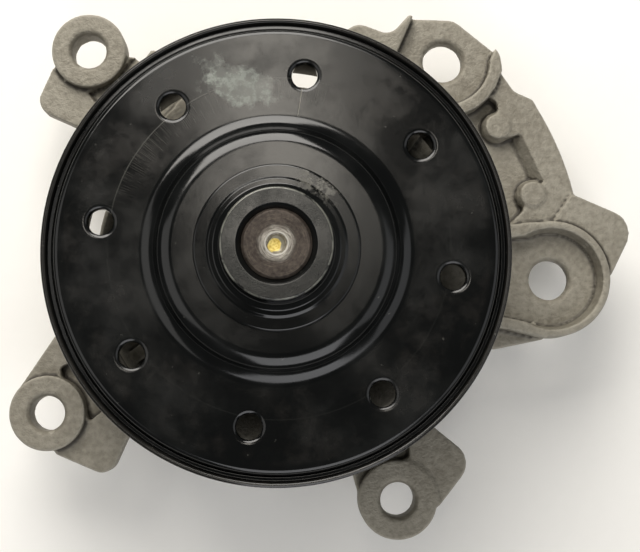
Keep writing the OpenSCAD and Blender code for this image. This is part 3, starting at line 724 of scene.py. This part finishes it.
def rim_outline():
    """The rim's corners: bore, front lip with a bead inside it, grooves and back lip."""
    half = pitch / 2 - land
    foot = half - groove * math.tan(math.radians(20)) + 0.2 * MM
    inner = belt_r - groove - 2.3 * MM
    points = [(inner, back, 0.4 * MM), (inner, seat_z, 0.1 * MM), (edge_r + 0.15 * MM, seat_z, 0),
              (edge_r + 0.15 * MM, front - 2.0 * MM, 0.1 * MM),
              (edge_r + 0.55 * MM, front - 1.5 * MM, 0.3 * MM),
              (pulley_r - 1.5 * MM, front - 1.6 * MM, 0.2 * MM),
              (pulley_r - 1.0 * MM, front - 0.15 * MM, 0.25 * MM),
              (pulley_r - 0.55 * MM, front, 0.25 * MM), (pulley_r, front - 0.35 * MM, 0.3 * MM),
              (pulley_r, front - 1.6 * MM, 0.3 * MM), (belt_r, front - 2.4 * MM, 0.3 * MM)]
    middle = (groove_low + groove_high) / 2
    for i in range(grooves):
        z = middle + pitch * ((grooves - 1) / 2 - i)
        points += [(belt_r, z + half, 0.2 * MM), (belt_r - groove, z + foot, 0.2 * MM),
                   (belt_r - groove, z - foot, 0.2 * MM), (belt_r, z - half, 0.2 * MM)]
    points += [(belt_r, back + 1.4 * MM, 0.2 * MM), (pulley_r, back + MM, 0.3 * MM),
               (pulley_r, back, 0.4 * MM)]
    return rounded(points, 5)


def rim_wear(place, at, colour, rough, metal, height):
    _, _, z, r, _ = at
    lip = z.rise(front - 1.2 * MM, front - 0.2 * MM)
    rubbed = place.noise(0.0035, 4, 0.6)
    colour = (0.22 * lip * rubbed).mix(colour, (0.11, 0.10, 0.085))
    # the belt has run the tops of the ribs between its grooves dull
    run = r.rise(belt_r - 1.2 * MM, belt_r - 0.2 * MM) * z.fall(front - 4 * MM, front - 3 * MM)
    colour = (0.12 * run).mix(colour, (0.10, 0.10, 0.10))
    return colour, rough + 0.08 * run, metal, height


rim = turn("belt_rim", rim_outline(), 288)
paint(rim, black_coat("rim_coat", rim_wear))
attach(rim, "rotor")
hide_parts("pulley_rim")


# ---- studio ----
# A pale floor under the pump, a soft window of light over its upper edge, large soft panels
# around it, and a camera nearly straight above the pulley.


def pale_floor(level):
    floor = bpy.data.objects.new("floor", bpy.data.meshes.new("floor"))
    half, cells = 2.4, 24
    at = [(half * (2 * i / cells - 1), half * (2 * j / cells - 1), level)
          for i in range(cells + 1) for j in range(cells + 1)]
    faces = [(i * (cells + 1) + j, (i + 1) * (cells + 1) + j, (i + 1) * (cells + 1) + j + 1,
              i * (cells + 1) + j + 1) for i in range(cells) for j in range(cells)]
    floor.data.from_pydata(at, [], faces)
    bpy.context.scene.collection.objects.link(floor)
    made, skin, place = finish("pale_floor", roughness=0.8)
    grain = place.noise(0.002, 3, 0.6)
    feed(skin, base_color=grain.mix((0.88, 0.865, 0.83), (0.90, 0.885, 0.85)))
    paint(floor, made)


def panel(name, direction, distance, size, radiance, colour, tall=1.0):
    """A soft panel of light that faces the pump from a direction."""
    light = bpy.data.lights.new(name, "AREA")
    light.shape, light.size, light.size_y = "RECTANGLE", size, size * tall
    light.energy = radiance * math.pi * size * size * tall
    light.color = colour
    lamp = bpy.data.objects.new(name, light)
    lamp.location = Vector(direction).normalized() * distance
    lamp.rotation_euler = (-lamp.location).to_track_quat("-Z", "Y").to_euler()
    bpy.context.scene.collection.objects.link(lamp)


pale_floor(cad_box[0][2])
panel("overhead_window", (-0.014, 0.235, 1.0), 1.25, 0.155, 5.5, (1.0, 0.94, 0.84), 2.5)
panel("key", (-0.25, 1.0, 0.95), 0.60, 0.44, 7.4, (1.0, 0.965, 0.91))
panel("left_fill", (-1.0, -0.1, 1.1), 1.6, 1.2, 0.9, (1.0, 0.98, 0.95))
panel("right_fill", (1.0, -0.2, 0.9), 1.6, 1.2, 0.75, (0.97, 0.98, 1.0))
panel("low_fill", (0.2, -1.0, 0.9), 1.6, 1.2, 2.4, (0.98, 0.98, 1.0))

world = bpy.data.worlds.new("room")
world.use_nodes = True
world.node_tree.nodes["Background"].inputs["Color"].default_value = (0.92, 0.96, 0.94, 1)
world.node_tree.nodes["Background"].inputs["Strength"].default_value = 0.08
bpy.context.scene.world = world

camera = bpy.data.objects.new("camera", bpy.data.cameras.new("camera"))
camera.data.lens, camera.data.sensor_width = 73.125, 36
camera.data.clip_start = 0.01
ahead = Vector((0.0246, 0.0752, -0.9969)).normalized()
right = ahead.cross(Vector((0, 1, 0))).normalized()
up = right.cross(ahead)
turned_to = Matrix((right, up, -ahead)).transposed().to_4x4()
camera.matrix_world = Matrix.Translation((2.54 * MM, -28.88 * MM, 346.43 * MM)) @ turned_to
bpy.context.scene.collection.objects.link(camera)
bpy.context.scene.camera = camera
bpy.context.scene.view_settings.view_transform = "Standard"
